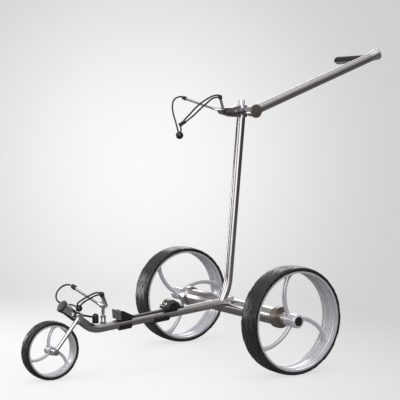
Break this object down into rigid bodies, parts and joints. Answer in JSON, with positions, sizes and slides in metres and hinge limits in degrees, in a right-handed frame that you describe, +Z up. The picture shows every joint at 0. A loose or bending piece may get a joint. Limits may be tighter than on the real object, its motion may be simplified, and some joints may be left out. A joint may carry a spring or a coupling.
{
  "type": "electric golf trolley",
  "caption": "Three-wheeled electric golf trolley with a slim tube frame, driven rear wheels, bag cradles with elastic cords and a folding one-arm handle.",
  "frame": {"origin": "on the floor, midway along the length and width", "axes": "+Z up, -Y forward towards the front wheel, +X towards the handle's pivot side"},
  "size_m": [0.646, 1.1795, 0.9195],
  "materials": {
    "stainless_tube": "polished stainless tube with a fine lengthwise brush",
    "polished_steel": "polished stainless fittings",
    "machine_steel": "turned steel",
    "silver_paint": "silver paint with a slight lavender tint",
    "alloy": "turned aluminium",
    "bronze_alloy": "dark bronze anodised aluminium",
    "tyre_rubber": "black tyre rubber with a fine wavy tread",
    "soft_rubber": "dark grey rubber",
    "grip_leather": "black smooth leather",
    "black_plastic": "black moulded plastic with a fine grain",
    "gloss_black": "glossy black plastic",
    "grey_plate": "grey coated plate",
    "cord_sleeve": "black braided elastic cord",
    "contact_brass": "plated contact",
    "circuit": "potted circuit board",
    "motor_steel": "dark coated steel",
    "winding": "copper winding"
  },
  "bodies": {
    "frame": {"main_tube": "stainless_tube", "axle_tube": "stainless_tube", "mast_tube": "stainless_tube", "end_collars": "bronze_alloy", "output_bearings": "machine_steel", "gearboxes": "motor_steel", "motor_cans": "motor_steel", "controller": "circuit", "front_sleeve": "polished_steel", "front_bumper": "soft_rubber", "fork_leg": "polished_steel", "front_axle": "machine_steel", "battery_pad": "soft_rubber", "front_stop": "black_plastic", "stop_plate": "grey_plate", "rear_stop": "gloss_black", "power_contacts": "contact_brass", "under_clamps": "black_plastic", "clamp_screws": "machine_steel", "post_socket": "polished_steel", "bracket_post": "polished_steel", "lower_bracket": "polished_steel", "lower_caps": "gloss_black", "lower_cord": "cord_sleeve", "lower_loop": "cord_sleeve", "lower_ball": "gloss_black", "head_block": "polished_steel", "pivot_bolt": "machine_steel", "upper_bracket": "polished_steel", "upper_caps": "gloss_black", "upper_cord": "cord_sleeve", "upper_loop": "cord_sleeve", "upper_toggle": "gloss_black", "upper_ball": "gloss_black"},
    "left_wheel": {"left_tyre": "tyre_rubber", "left_rim": "silver_paint", "left_spokes": "silver_paint", "left_adapter": "alloy", "left_shaft": "machine_steel"},
    "right_wheel": {"right_tyre": "tyre_rubber", "right_rim": "silver_paint", "right_spokes": "silver_paint", "right_adapter": "alloy", "right_shaft": "machine_steel"},
    "left_hub_button": {"left_button": "gloss_black"},
    "right_hub_button": {"right_button": "gloss_black"},
    "left_motor_rotor": {"left_rotor": "winding"},
    "right_motor_rotor": {"right_rotor": "winding"},
    "front_wheel": {"front_tyre": "tyre_rubber", "front_rim": "silver_paint", "front_spokes": "silver_paint", "front_bearings": "machine_steel"},
    "handle": {"handle_tube": "stainless_tube", "pivot_disc": "bronze_alloy", "grip_bar": "polished_steel", "grip_pad": "grip_leather", "dial_sensor": "motor_steel"},
    "dial": {"speed_dial": "polished_steel"},
    "knob": {"head_knob": "polished_steel"},
    "lever": {"release_lever": "black_plastic"}
  },
  "joints": [
    {"name": "left_wheel_spin", "type": "hinge", "parent": "frame", "child": "left_wheel", "pos_m": [0.2905, 0.0827, 0.15], "axis": [1, 0, 0], "continuous": true},
    {"name": "right_wheel_spin", "type": "hinge", "parent": "frame", "child": "right_wheel", "pos_m": [-0.2905, 0.0827, 0.15], "axis": [1, 0, 0], "continuous": true},
    {"name": "left_rotor_spin", "type": "hinge", "parent": "frame", "child": "left_motor_rotor", "pos_m": [0.105, 0.0827, 0.15], "axis": [1, 0, 0], "continuous": true},
    {"name": "right_rotor_spin", "type": "hinge", "parent": "frame", "child": "right_motor_rotor", "pos_m": [-0.105, 0.0827, 0.15], "axis": [1, 0, 0], "continuous": true},
    {"name": "front_wheel_spin", "type": "hinge", "parent": "frame", "child": "front_wheel", "pos_m": [0, -0.51031, 0.08], "axis": [1, 0, 0], "continuous": true},
    {"name": "left_release_push", "type": "slide", "parent": "left_wheel", "child": "left_hub_button", "axis": [-1, 0, 0], "range_m": [0, 0.003], "stiffness_N_per_m": 600, "springref_m": -0.002},
    {"name": "right_release_push", "type": "slide", "parent": "right_wheel", "child": "right_hub_button", "axis": [1, 0, 0], "range_m": [0, 0.003], "stiffness_N_per_m": 600, "springref_m": -0.002},
    {"name": "handle_fold", "type": "hinge", "parent": "frame", "child": "handle", "pos_m": [0.06, 0.1137, 0.725], "axis": [1, 0, 0], "range_deg": [-108, 40]},
    {"name": "speed_turn", "type": "hinge", "parent": "handle", "child": "dial", "pos_m": [0.06, 0.55026, 0.89084], "axis": [0, 0.9348, 0.3551], "range_deg": [0, 270]},
    {"name": "clamp_turn", "type": "hinge", "parent": "frame", "child": "knob", "pos_m": [0, 0.1137, 0.742], "axis": [0, 0, 1], "range_deg": [0, 360]},
    {"name": "lever_lift", "type": "hinge", "parent": "frame", "child": "lever", "pos_m": [0.018, -0.435, 0.17093], "axis": [1, 0, 0], "range_deg": [0, 25]}
  ],
  "couplings": [
    {"joint": "left_rotor_spin", "follows": "left_wheel_spin", "ratio": 16},
    {"joint": "right_rotor_spin", "follows": "right_wheel_spin", "ratio": 16}
  ]
}
